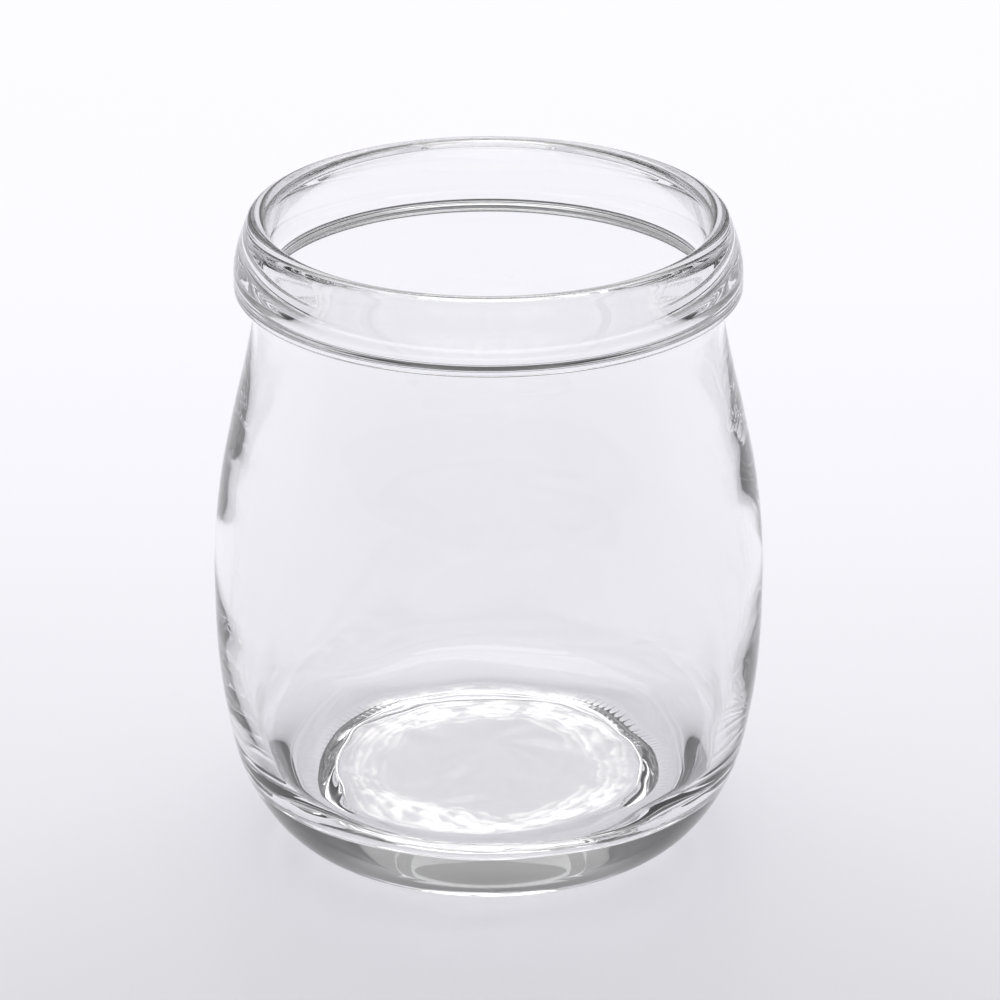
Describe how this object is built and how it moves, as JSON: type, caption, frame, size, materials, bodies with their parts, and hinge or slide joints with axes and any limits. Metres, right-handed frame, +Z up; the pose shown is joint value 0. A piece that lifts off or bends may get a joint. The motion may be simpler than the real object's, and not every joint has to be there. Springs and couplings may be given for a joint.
{
  "type": "preserving jar",
  "caption": "Empty, open preserving jar of clear glass: a round-bellied body with a rounded heel, a short neck groove and a thick banded collar with a rounded lip.",
  "frame": {"origin": "middle of the foot ring, on the surface that the jar stands on", "axes": "+Z up along the jar's axis of rotation; the jar is round, so +X and +Y are free"},
  "size_m": [0.0732, 0.0732, 0.086],
  "materials": {
    "glass": "clear, fire-polished"
  },
  "bodies": {
    "root": {"jar": "glass"}
  },
  "joints": []
}
